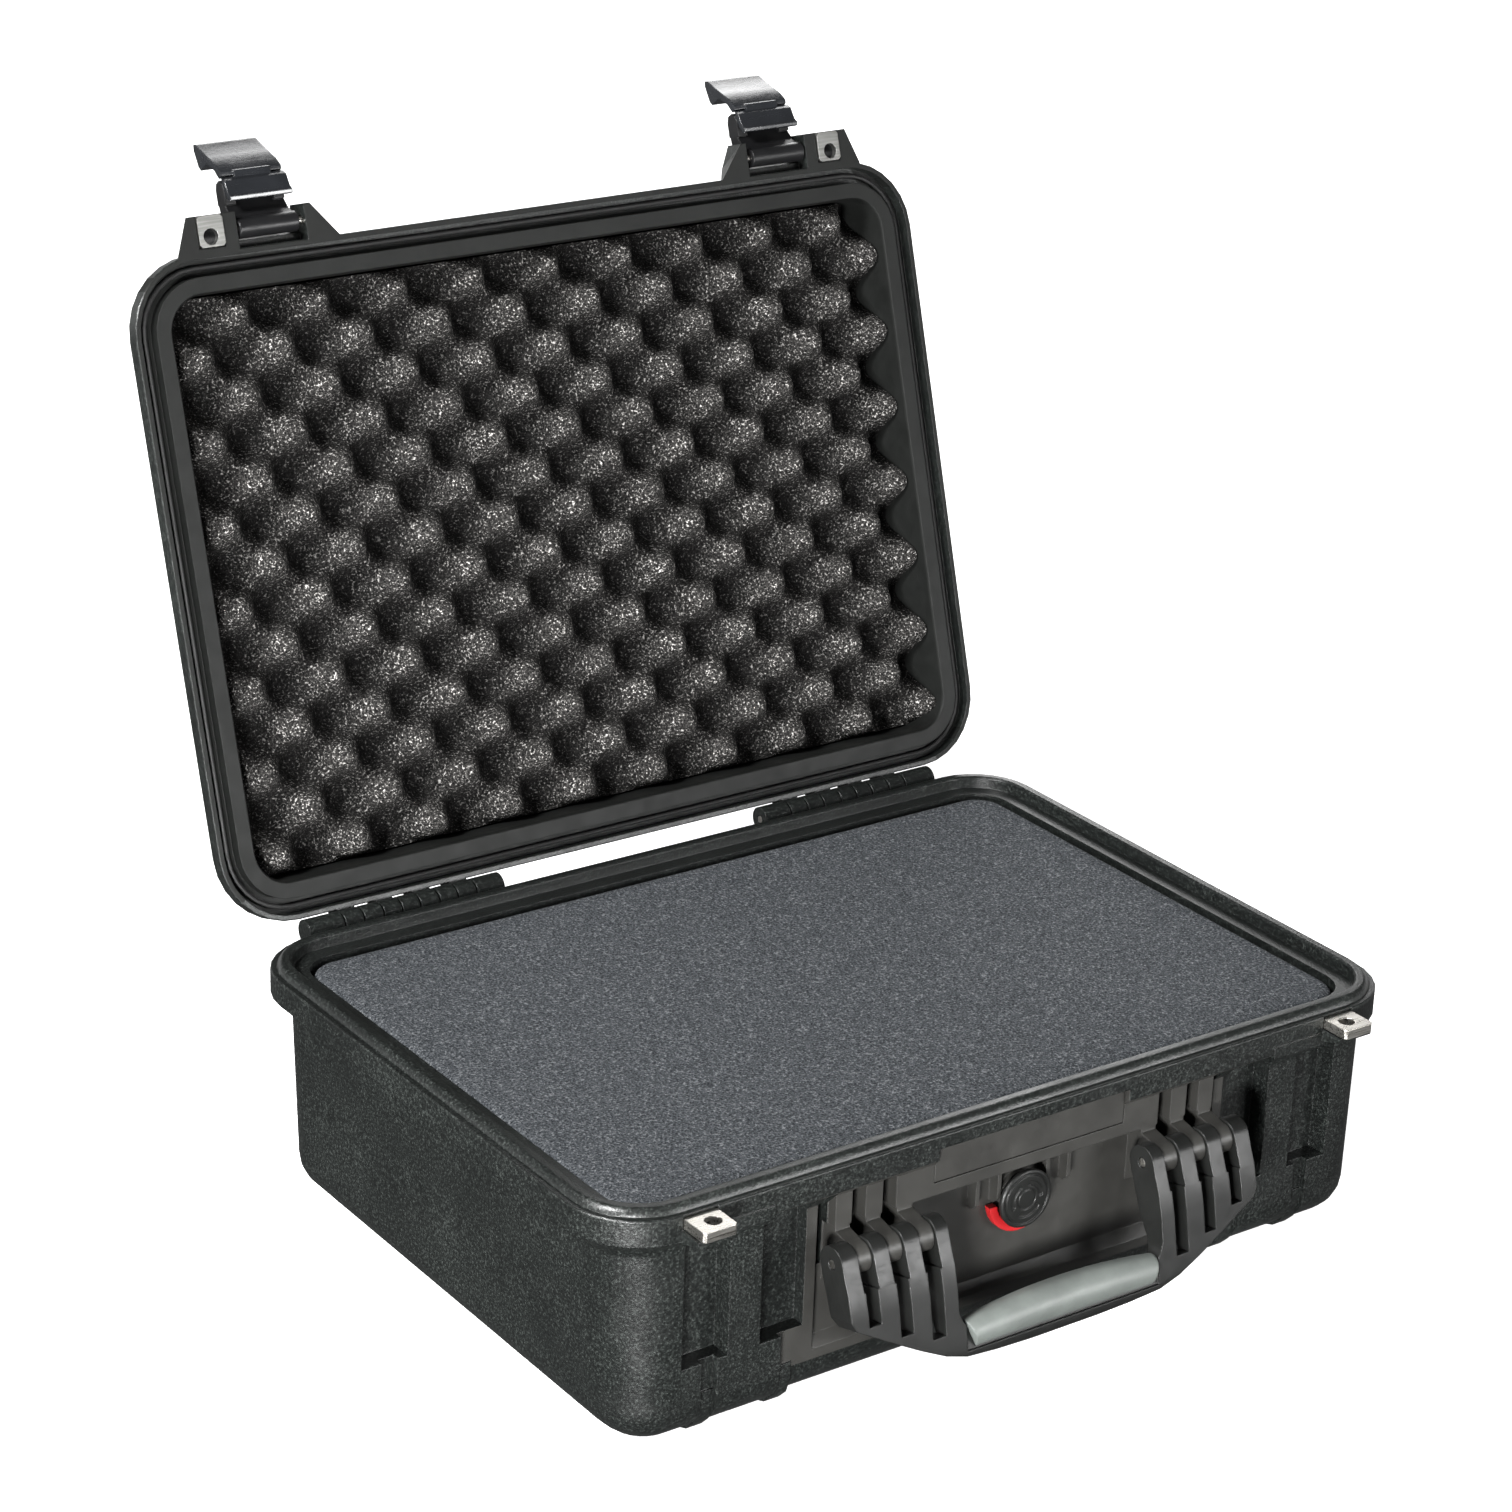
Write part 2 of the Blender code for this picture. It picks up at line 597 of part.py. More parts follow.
def latch_lever(name, side):
    """A barrel between the cheeks, the claw that catches the strike, and the flared pull tab."""
    x0, x1 = LATCH_X - LATCH_WIDTH / 2, LATCH_X + LATCH_WIDTH / 2
    inner = (x0 + CHEEK_WIDTH + GAP, x1 - CHEEK_WIDTH - GAP)
    y2, z2 = LEVER_PIN
    lever = rod(name, mirrored(inner, side), LEVER_PIN, 4.0, latch_plastic())
    neck = [(y2 + 1, z2 - 3.5), (y2 - 2, z2 - 6.6), (y2 - 8.5, z2 - 5.5), (y2 - 9.5, z2 + 2), (y2 - 2, z2 + 3.6)]
    join(lever, prism("neck", neck, mirrored(inner, side), "X"))
    claw = [(y2 - 5.6, z2 - 5.2), (y2 - 3.8, z2 - 8.0), (y2 + 2.4, z2 - 10.2), (y2 + 4.2, z2 - 12.4)]
    claw += [(y2 + 6.0, z2 - 12.0), (y2 + 6.4, z2 - 10.2), (y2 + 3.6, z2 - 7.6), (y2 - 2.4, z2 - 5.2)]
    join(lever, prism("claw", claw, mirrored((x0 - 0.8, x1 + 0.8), side), "X"))
    tab = [(y2 - 5.2, z2 - 2.2), (y2 - 6.4, z2 - 4.6), (y2 - 8.4, z2 - 4.6), (y2 - 12.2, z2 - 0.6)]
    tab += [(y2 - 16.4, z2 + 6.5), (y2 - 20.4, z2 + 13.0), (y2 - 23.4, z2 + 17.4), (y2 - 23.8, z2 + 20.2)]
    tab += [(y2 - 21.0, z2 + 20.6), (y2 - 12.6, z2 + 18.0), (y2 - 10.6, z2 + 16.0), (y2 - 13.4, z2 + 9.0)]
    tab += [(y2 - 9.6, z2 + 1.6), (y2 - 7.0, z2 - 0.4)]
    join(lever, prism("tab", tab, mirrored((x0 - 0.4, x1 + 0.4), side), "X"))
    cut(lever, rod("bore", mirrored((x0 - 1, x1 + 1), side), LEVER_PIN, 1.6 + GAP, steps=20))
    smooth(lever)
    return lever


# ---------------------------------------------------------------- handle


def handle_front():
    """The handle's outline from the front, as (x, distance under the axis)."""
    half = [(55.4, 47.2), (59.0, 43.0), (61.0, 38.0), (61.0, -9.5), (121.0, -9.5), (121.0, 26.0), (118.6, 30.6)]
    half += [(100.0, 41.0), (84.0, 49.6), (70.0, 56.4), (58.0, 60.0), (40.0, 61.6), (20.0, 62.4)]
    left = [(-x, drop) for x, drop in reversed(half)]
    return [(x, HANDLE_Z - drop) for x, drop in half + left]


def handle_side():
    """The handle's outline from the side, as (distance behind the axis, distance over it)."""
    places = arc((0.0, 0.0), 8.8, 10, 170, 10)
    places += [(-9.4, -6.0), (-10.6, -14.0), (-10.8, -26.0), (-9.8, -40.0), (-9.0, -52.0), (-8.2, -60.0)]
    places += [(-6.6, -62.7), (-3.0, -62.8), (-1.6, -60.0), (-1.2, -48.0), (2.0, -36.0), (5.6, -26.0)]
    places += [(6.8, -16.0), (8.4, -5.0)]
    return [(HANDLE_Y + back, HANDLE_Z + rise) for back, rise in places]


def handle_frame():
    """Two fingered arms and the bar that carries the grip, drawn hanging straight down."""
    y, z = HANDLE_Y, HANDLE_Z
    frame = prism("handle_frame", handle_front(), (y - 16.0, y + 14.0), "Y", handle_plastic())
    combine(frame, [prism("side", handle_side(), (-130, 130), "X")], "INTERSECT")
    cut(frame, block("grip_front", (-57.5, 57.5), (y - 18, y - 7.0), (z - 57.6, z - 40)))
    ends = (z - 46.5, z - 40.0, z - 30.5)
    for side in (-1, 1):
        for (start, stop), end in zip(HANDLE_GAPS, ends):
            gap = block("gap", mirrored((start, stop), side), (y - 20, y + 20), (z - 14.0, z + 12))
            slot = block("slot", mirrored((start + 1.0, stop - 0.8), side), (y - 20, y + 20), (end, z - 12.0))
            cut(frame, gap, slot)
        bore = mirrored((HANDLE_X[0] - 1, HANDLE_X[1] + 1), side)
        cut(frame, rod("bore", bore, (y, z), HANDLE_PIN_RADIUS + GAP))
    smooth(frame)
    return frame


def handle_grip():
    """The soft sleeve around the bar: fuller in the middle, and open below, where the bar comes through."""
    mesh = bmesh.new()
    loops = []
    stations = 12
    for station in range(stations + 1):
        x = GRIP_X * (2 * station / stations - 1)
        full = 1 - (x / GRIP_X) ** 2
        top = GRIP_DROP[0] + 4.2 * (1 - full)
        half_z = (GRIP_DROP[1] - top) / 2
        half_y = 7.4 + 1.4 * full
        loop = []
        for degrees in range(0, 360, 18):
            turn = math.radians(degrees)
            rise = half_z * math.sin(turn)
            lean = 0.35 * rise * x / GRIP_X
            place = (x + lean, HANDLE_Y - 5.0 + half_y * math.cos(turn), HANDLE_Z - top - half_z + rise)
            loop.append(mesh.verts.new(Vector(place) * MM))
        loops.append(loop)
    for near, far in zip(loops, loops[1:]):
        for index in range(len(near)):
            following = (index + 1) % len(near)
            mesh.faces.new((near[index], near[following], far[following], far[index]))
    mesh.faces.new(loops[0])
    mesh.faces.new(loops[-1])
    grip = object_from(mesh, "handle_grip", grip_rubber())
    bar = (HANDLE_Y - 7.0 - GAP, HANDLE_Y - 1.2 + GAP)
    cut(grip, block("bar", (-GRIP_X - 5, GRIP_X + 5), bar, (HANDLE_Z - 64, HANDLE_Z - 47 + GAP)))
    smooth(grip)
    return grip


# ---------------------------------------------------------------- assembly


def build():
    clear_scene()
    case = pivot("case_origin", None, (0, CASE_SHIFT_Y, 0), (0, 0, 0))
    zero = (0, 0, 0)
    for item in (base_shell(), *base_foam(), nameplate()):
        hang(item, case, zero)
    for label, side in (("left", -1), ("right", 1)):
        plate = hasp_plate("padlock_plate_base_" + label, side, BASE_HASP, (118.3, 123.4))
        hinge_span = mirrored((HINGE_EDGES[0] + 0.5, HINGE_EDGES[-1] - 3.4), side)
        handle_span = mirrored((HANDLE_X[0] + 0.4, HANDLE_X[1] - 0.4), side)
        for item in (
            plate,
            pin("hinge_pin_" + label, hinge_span, (HINGE_Y, HINGE_Z), HINGE_PIN_RADIUS),
            pin("handle_pin_" + label, handle_span, (HANDLE_Y, HANDLE_Z), HANDLE_PIN_RADIUS),
        ):
            hang(item, case, zero)

    valve_axis = pivot("valve_axis", case, (0, -160.0, VALVE_Z), zero)
    body, seal, knob = valve()
    hang(body, case, zero)
    hang(seal, case, zero)
    hang(knob, valve_axis, (0, -160.0, VALVE_Z))

    hinge = (0, HINGE_Y, HINGE_Z)
    lid_axis = pivot("lid_axis", case, hinge, zero, -LID_OPEN)
    for item in (lid_shell(), lid_o_ring(), lid_foam()):
        hang(item, lid_axis, hinge)
    for label, side in (("left", -1), ("right", 1)):
        plate = hasp_plate("padlock_plate_lid_" + label, side, LID_HASP, (PART_Z - 0.6, PART_Z + 2.9))
        hang(plate, lid_axis, hinge)
        first = (side * LATCH_X, *LINK_PIN)
        second = (side * LATCH_X, *LEVER_PIN)
        link_axis = pivot("link_axis_" + label, lid_axis, first, hinge)
        lever_axis = pivot("lever_axis_" + label, link_axis, second, first)
        pin_span = mirrored((128.6, 177.4), side)
        hang(pin("latch_lid_pin_" + label, pin_span, LINK_PIN, 1.9), lid_axis, hinge)
        hang(latch_link("latch_link_" + label, side), link_axis, first)
        lever_span = mirrored((LATCH_X - 15.0, LATCH_X + 15.0), side)
        hang(pin("latch_lever_pin_" + label, lever_span, LEVER_PIN, 1.6), link_axis, first)
        hang(latch_lever("latch_lever_" + label, side), lever_axis, second)

    swing = (0, HANDLE_Y, HANDLE_Z)
    handle_axis = pivot("handle_axis", case, swing, zero, -HANDLE_SWING)
    for item in (handle_frame(), handle_grip()):
        hang(item, handle_axis, swing)


build()
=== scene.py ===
"""Looks of the hard equipment case: softened skins, foam shapes and procedural finishes."""

import json
import math
import bmesh
import bpy
import numpy as np
from mathutils import Euler, Matrix, Vector


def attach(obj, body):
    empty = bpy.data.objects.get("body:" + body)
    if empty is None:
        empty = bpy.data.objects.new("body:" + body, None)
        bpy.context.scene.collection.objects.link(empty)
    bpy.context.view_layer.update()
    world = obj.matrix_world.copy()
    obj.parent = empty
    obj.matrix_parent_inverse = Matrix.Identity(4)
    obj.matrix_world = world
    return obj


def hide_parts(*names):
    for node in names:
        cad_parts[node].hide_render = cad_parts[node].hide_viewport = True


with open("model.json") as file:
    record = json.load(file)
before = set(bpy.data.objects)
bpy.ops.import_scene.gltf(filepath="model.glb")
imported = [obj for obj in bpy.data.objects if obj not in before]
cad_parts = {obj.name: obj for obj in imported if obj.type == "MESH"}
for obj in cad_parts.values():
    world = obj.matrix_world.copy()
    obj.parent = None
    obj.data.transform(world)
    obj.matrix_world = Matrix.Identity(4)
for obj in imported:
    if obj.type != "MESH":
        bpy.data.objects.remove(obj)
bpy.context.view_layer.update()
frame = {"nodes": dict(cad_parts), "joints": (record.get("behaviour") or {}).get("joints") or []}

MM = 0.001

# Driving dimensions of the closed-case drawing, millimetres unless said
SHIFT_Y = -62.0  # from the drawing to the frame
HALF_X, HALF_Y, RIM_RADIUS = 235.0, 166.5, 38.0  # the rim's outline
PART_Z = 125.0  # parting plane between base and lid
LID_OPEN = math.radians(107.0)  # from closed to where it stands, radians
SMALLEST_RADIUS = 5.0  # of a rounded loop far inside the rim
CORNER_STEPS = 10  # along each corner of a rounded loop
VALVE_Y, VALVE_Z = -163.5, 74.5  # middle of the valve cap's face
BLOCK_HALF_X, BLOCK_BACK_Y, BLOCK_Z = 112.5, -146.5, (24.0, 116.5)  # the handle's block
BAND_HALF_X, BAND_HALF_Y, BAND_TOP_Z = 224.2, 155.7, 152.0  # the lid's inner band inside the seal, which takes a darker finish as painted shade

# The viewpoint and the lamps, metres and degrees
VIEW_PLACE, VIEW_TURN = (-1.0627, -1.4641, 0.9675), (67.485, -1.916, -35.118)
LIT_POINT = Vector((0.0, 0.0, 0.15))  # where every lamp aims

nodes = frame["nodes"]
joints = {joint["name"]: joint for joint in frame["joints"]}


# ---------------------------------------------------------------- mesh helpers


def link(mesh, name):
    made = bpy.data.objects.new(name, mesh)
    bpy.context.scene.collection.objects.link(made)
    return made


def from_bmesh(bm, name, angle=32.0):
    mesh = bpy.data.meshes.new(name)
    bmesh.ops.recalc_face_normals(bm, faces=bm.faces)
    bm.to_mesh(mesh)
    bm.free()
    mesh.shade_smooth()
    mesh.set_sharp_from_angle(angle=math.radians(angle))
    return link(mesh, name)


def apply_modifiers(item):
    graph = bpy.context.evaluated_depsgraph_get()
    mesh = bpy.data.meshes.new_from_object(item.evaluated_get(graph))
    item.modifiers.clear()
    item.data = mesh
    return item


def clean_copy(node):
    """The node's solid as a welded mesh with its flat faces made whole."""
    bm = bmesh.new()
    bm.from_mesh(nodes[node].data)
    bmesh.ops.remove_doubles(bm, verts=bm.verts, dist=0.00002)
    limit = math.radians(0.4)
    bmesh.ops.dissolve_limit(bm, angle_limit=limit, verts=bm.verts, edges=bm.edges)
    return bm


def skin(node, body, finish, bevel=0.0, angle=32.0, segments=2, zone=None):
    """A softened copy of a CAD solid that stands for it.

    A zone is a second finish and a test that says which faces take it.
    """
    piece = from_bmesh(clean_copy(node), node + "_skin", angle)
    piece.data.materials.append(finish)
    if zone:
        piece.data.materials.append(zone[0])
        for face in piece.data.polygons:
            face.material_index = int(zone[1](piece.matrix_world @ face.center))
    if bevel:
        modifier = piece.modifiers.new("edges", "BEVEL")
        modifier.width = bevel * MM
        modifier.segments = segments
        modifier.limit_method = "ANGLE"
        modifier.angle_limit = math.radians(angle)
        modifier.use_clamp_overlap = True
        modifier.harden_normals = False
    weighted = piece.modifiers.new("normals", "WEIGHTED_NORMAL")
    weighted.keep_sharp = True
    apply_modifiers(piece)
    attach(piece, body)
    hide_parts(node)
    return piece


def lid_place(point):
    """A point of the closed drawing, in mm, moved to where the open lid holds it."""
    hinge = Vector(joints["lid_hinge"]["pos_m"])
    turn = Matrix.Rotation(-LID_OPEN, 3, "X")
    drawn = Vector((point[0], point[1] + SHIFT_Y, point[2])) * MM
    return hinge + turn @ (drawn - hinge)


# ---------------------------------------------------------------- materials


class Nodes:
    """A short way to write a node tree."""

    def __init__(self, name):
        self.material = bpy.data.materials.new(name)
        self.material.use_nodes = True
        self.tree = self.material.node_tree
        self.shader = self.tree.nodes["Principled BSDF"]
        self.place = self.add("ShaderNodeTexCoord").outputs["Object"]

    def add(self, kind, **values):
        made = self.tree.nodes.new(kind)
        for key, value in values.items():
            setattr(made, key, value)
        return made

    def feed(self, socket, value):
        if isinstance(value, bpy.types.NodeSocket):
            self.tree.links.new(value, socket)
        else:
            socket.default_value = value

    def noise(self, scale, detail=3.0, roughness=0.6, place=None):
        made = self.add("ShaderNodeTexNoise")
        self.feed(made.inputs["Vector"], place or self.place)
        made.inputs["Scale"].default_value = scale
        made.inputs["Detail"].default_value = detail
        made.inputs["Roughness"].default_value = roughness
        return made.outputs["Fac"]

    def stretched(self, scale):
        made = self.add("ShaderNodeMapping")
        self.feed(made.inputs["Vector"], self.place)
        made.inputs["Scale"].default_value = scale
        return made.outputs["Vector"]

    def cells(self, scale, feature="F1"):
        made = self.add("ShaderNodeTexVoronoi", feature=feature)
        self.feed(made.inputs["Vector"], self.place)
        made.inputs["Scale"].default_value = scale
        return made.outputs["Distance"]

    def remap(self, value, low, high, to_low, to_high):
        made = self.add("ShaderNodeMapRange")
        self.feed(made.inputs["Value"], value)
        made.inputs["From Min"].default_value = low
        made.inputs["From Max"].default_value = high
        made.inputs["To Min"].default_value = to_low
        made.inputs["To Max"].default_value = to_high
        return made.outputs["Result"]

    def math(self, operation, first, second):
        made = self.add("ShaderNodeMath", operation=operation)
        self.feed(made.inputs[0], first)
        self.feed(made.inputs[1], second)
        return made.outputs[0]

    def ramp(self, value, stops):
        made = self.add("ShaderNodeValToRGB")
        self.feed(made.inputs["Fac"], value)
        ramp = made.color_ramp
        while len(ramp.elements) < len(stops):
            ramp.elements.new(0.5)
        for element, (place, colour) in zip(ramp.elements, stops):
            element.position = place
            element.color = (*colour, 1.0)
        return made.outputs["Color"]

    def edge(self, radius):
        made = self.add("ShaderNodeBevel", samples=4)
        made.inputs["Radius"].default_value = radius
        return made.outputs["Normal"]

    def bump(self, height, strength, distance, normal=None):
        made = self.add("ShaderNodeBump")
        made.inputs["Strength"].default_value = strength
        made.inputs["Distance"].default_value = distance
        self.feed(made.inputs["Height"], height)
        if normal is not None:
            self.feed(made.inputs["Normal"], normal)
        return made.outputs["Normal"]

    def finish(self, colour, roughness, normal=None, **values):
        self.feed(self.shader.inputs["Base Color"], colour)
        self.feed(self.shader.inputs["Roughness"], roughness)
        if normal is not None:
            self.feed(self.shader.inputs["Normal"], normal)
        for key, value in values.items():
            self.shader.inputs[key.replace("_", " ")].default_value = value
        return self.material


def textured_plastic():
    """Moulded shell plastic: a fine pebbled grain with random grey-green tone, whose tips are
    painted lighter as painted highlight specks.
    """
    n = Nodes("shell_texture")
    grain = n.noise(760.0, 2.0, 0.75)
    pebble = n.cells(700.0)
    height = n.math("ADD", grain, n.math("MULTIPLY", pebble, 0.5))
    cloud = n.math("MULTIPLY", n.noise(9.0, 5.0), 0.25)
    drift = n.math("ADD", cloud, n.math("MULTIPLY", grain, 0.75))
    # Random tone from the grain and the clouds; the lightest stop paints highlight specks on the
    # grain tips
    tones = (
        (0.42, (0.0035, 0.0040, 0.0038)),
        (0.54, (0.0080, 0.0095, 0.0088)),
        (0.68, (0.038, 0.043, 0.040)),
    )
    roughness = n.remap(n.math("ADD", n.noise(60.0), grain), 0.7, 1.3, 0.28, 0.44)
    normal = n.bump(height, 0.3, 0.0004, n.edge(0.0007))
    return n.finish(n.ramp(drift, tones), roughness, normal, Specular_IOR_Level=0.5)


def satin_plastic(name, tone, low, high, radius=0.0009, grain=500.0, scuffs=0.0, gloss=0.5):
    """Smoother plastic: cloudy tone, roughness from low to high, and long scuffs if asked for."""
    n = Nodes(name)
    wear = n.noise(35.0, 5.0)
    dark, light = (tuple(share * level for level in tone) for share in (0.8, 1.25))
    colour = n.ramp(wear, ((0.35, dark), (0.7, light)))
    rough = n.remap(n.noise(120.0, 4.0), 0.3, 0.7, low, high)
    height = n.noise(grain, 2.0)
    if scuffs:
        lines = n.noise(1.0, 5.0, 0.8, n.stretched((40.0, 420.0, 420.0)))
        rough = n.math("ADD", rough, n.remap(lines, 0.56, 0.70, 0.0, scuffs))
        height = n.math("ADD", height, n.math("MULTIPLY", lines, 0.5))
    normal = n.bump(height, 0.14, 0.0002, n.edge(radius))
    return n.finish(colour, rough, normal, Specular_IOR_Level=gloss)


def brushed_metal(name, dark, light, low, high):
    """Steel with brush lines along X that change its tone and its roughness."""
    n = Nodes(name)
    lines = n.noise(1.0, 4.0, 0.7, n.stretched((30.0, 900.0, 900.0)))
    colour = n.ramp(lines, ((0.3, dark), (0.7, light)))
    roughness = n.remap(lines, 0.3, 0.7, low, high)
    normal = n.bump(lines, 0.15, 0.0001, n.edge(0.0006))
    return n.finish(colour, roughness, normal, Metallic=1.0)


def foam(name, tones, stops, shade=None):
    """Open-cell foam: a fine grain with tiny pits, and specks where cell walls catch the light.

    A shade darkens it by how low a point lies, from the mesh's "rise" values.
    """
    n = Nodes(name)
    grain = n.noise(1100.0, 2.0, 0.7)
    mixed = n.math("ADD", grain, n.math("MULTIPLY", n.cells(700.0), 0.35))
    colour = n.ramp(mixed, tuple(zip(stops, tones)))
    if shade:
        rise = n.add("ShaderNodeAttribute", attribute_name="rise").outputs["Fac"]
        level = n.ramp(rise, tuple((place, (tone, tone, tone)) for place, tone in shade))
        mix = n.add("ShaderNodeMix", data_type="RGBA", blend_type="MULTIPLY")
        mix.inputs["Factor"].default_value = 1.0
        n.feed(mix.inputs["A"], colour)
        n.feed(mix.inputs["B"], level)
        colour = mix.outputs["Result"]
    return n.finish(colour, 0.95, n.bump(mixed, 0.9, 0.0012), Specular_IOR_Level=0.08)


def floor_paint():
    """A pale floor that glows a little, so that it stays pale where no lamp reaches it."""
    n = Nodes("studio_floor")
    colour = n.ramp(n.noise(3.0), ((0.3, (0.86, 0.86, 0.86)), (0.7, (0.89, 0.89, 0.89))))
    white = (1.0, 1.0, 1.0, 1.0)
    return n.finish(colour, 0.9, Emission_Color=white, Emission_Strength=0.8)


SHELL = textured_plastic()
HANDLE = satin_plastic(
    "handle_satin", (0.0075, 0.0078, 0.0074), 0.30, 0.42, scuffs=0.12, gloss=0.36
)
LINK = satin_plastic("link_satin", (0.007, 0.007, 0.0075), 0.30, 0.42, scuffs=0.12, gloss=0.35)
SMOOTH = satin_plastic("shell_smooth", (0.024, 0.0235, 0.0215), 0.36, 0.50, 0.0007, 1300.0)
# Painted shade: a darker, duller copy of the shell plastic for the lid's inner band
LID_BAND_SHADE = satin_plastic(
    "lid_band_painted_shade", (0.006, 0.0065, 0.006), 0.46, 0.60, 0.0007, 900.0, gloss=0.25
)
PLATE = satin_plastic("plate_smooth", (0.026, 0.0255, 0.0235), 0.34, 0.46, 0.0006, 1400.0)
LATCH = satin_plastic("latch_gloss", (0.010, 0.011, 0.013), 0.16, 0.26, scuffs=0.2, gloss=1.0)
GRIP = satin_plastic("grip_soft", (0.098, 0.108, 0.101), 0.40, 0.52, 0.0015, 900.0)
SEAL = satin_plastic("seal_black", (0.006, 0.006, 0.006), 0.5, 0.6)
RED = satin_plastic("seal_red", (0.30, 0.008, 0.010), 0.35, 0.45)
STEEL = brushed_metal("stainless", (0.42, 0.40, 0.36), (0.70, 0.68, 0.64), 0.22, 0.40)
DULL_STEEL = brushed_metal("stainless_dull", (0.20, 0.20, 0.19), (0.36, 0.36, 0.345), 0.34, 0.5)
DARK_FOAM = foam(
    "foam_black",
    ((0.005, 0.005, 0.005), (0.022, 0.021, 0.020), (0.060, 0.058, 0.055), (0.60, 0.58, 0.56)),
    (0.50, 0.66, 0.80, 0.92),
    ((0.0, 0.10), (0.35, 0.30), (0.75, 0.9), (1.0, 1.0)),
)
GREY_FOAM = foam(
    "foam_grey",
    ((0.020, 0.0225, 0.026), (0.056, 0.061, 0.067), (0.094, 0.100, 0.108), (0.23, 0.24, 0.25)),
    (0.46, 0.62, 0.78, 0.92),
)


# ---------------------------------------------------------------- foam


def egg_crate():
    """The lid's convoluted foam: staggered rounded peaks in rows, on a slab that fills the lid."""
    step = 2.0  # of the grid
    half_x, half_y = 213.6, 145.0  # of the slab
    pitch, row = 45.5, 41.6  # between peaks, along and across the lid
    first_x, first_y = -129.3, -136.0  # one peak
    low, high, back = 5.0, 30.5, 39.5  # peaks, valleys and the slab's back, above the parting plane
    sharpness = 1.15
    count_x, count_y = int(2 * half_x / step) + 1, int(2 * half_y / step) + 1
    xs = np.linspace(-half_x, half_x, count_x)
    ys = np.linspace(-half_y, half_y, count_y)
    bm = bmesh.new()
    rise = bm.verts.layers.float.new("rise")
    grid = []
    for y in ys:
        line = []
        for x in xs:
            wave = math.cos(math.tau * (x - first_x) / pitch)
            wave *= math.cos(math.tau * (y - first_y) / row)
            share = (0.5 + 0.5 * wave) ** sharpness
            line.append(bm.verts.new(lid_place((x, y, PART_Z + high - (high - low) * share))))
            line[-1][rise] = share
        grid.append(line)
    for row_a, row_b in zip(grid, grid[1:]):
        for index in range(count_x - 1):
            bm.faces.new((row_a[index], row_a[index + 1], row_b[index + 1], row_b[index]))
    border = [e for e in bm.edges if e.is_boundary]
    made = bmesh.ops.extrude_edge_only(bm, edges=border)
    lower = [v for v in made["geom"] if isinstance(v, bmesh.types.BMVert)]
    parting = lid_place((0, 0, PART_Z))
    up = lid_place((0, 0, PART_Z + 1)) - parting
    for vertex in lower:
        height = (vertex.co - parting).dot(up) / up.length_squared
        vertex.co += up * (back - height)
    bmesh.ops.holes_fill(bm, edges=[e for e in bm.edges if e.is_boundary])
    piece = from_bmesh(bm, "lid_foam_egg_crate", 60.0)
    piece.data.materials.append(DARK_FOAM)
    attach(piece, "lid")
    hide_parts("lid_foam")
    return piece


def rounded_loop(inset, z):
    """A rounded rectangle inside the rim's outline, at the height z."""
    half_x, half_y = HALF_X - inset, HALF_Y - inset
    radius = max(RIM_RADIUS - inset, SMALLEST_RADIUS)
    loop = []
    for side_x, side_y, start in ((1, 1, 0), (-1, 1, 90), (-1, -1, 180), (1, -1, 270)):
        cx, cy = side_x * (half_x - radius), side_y * (half_y - radius)
        for step in range(CORNER_STEPS + 1):
            turn = math.radians(start + 90 * step / CORNER_STEPS)
            loop.append((cx + radius * math.cos(turn), cy + radius * math.sin(turn), z))
    return loop


def foam_block(node, low, high, inset, edge):
    """A cut foam block from low to high, with a softened upper edge and a slightly crowned top."""
    edge_steps = 6
    profile = [(inset, low)]
    for step in range(edge_steps + 1):
        turn = math.radians(90 * step / edge_steps)
        profile.append((inset + edge - edge * math.cos(turn), high - edge + edge * math.sin(turn)))
    profile += [(inset + 2.5 * edge, high + 0.25), (inset + 9 * edge, high + 0.3)]
    bm = bmesh.new()
    loops = []
    for place in profile:
        points = (Vector((x, y + SHIFT_Y, z)) for x, y, z in rounded_loop(*place))
        loops.append([bm.verts.new(point * MM) for point in points])
    for lower, upper in zip(loops, loops[1:]):
        for index in range(len(lower)):
            following = (index + 1) % len(lower)
            bm.faces.new((lower[index], lower[following], upper[following], upper[index]))
    bm.faces.new(loops[0])
    bm.faces.new(loops[-1])
    piece = from_bmesh(bm, node + "_block", 60.0)
    piece.data.materials.append(GREY_FOAM)
    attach(piece, "case")
    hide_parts(node)
    return piece


# ---------------------------------------------------------------- fittings


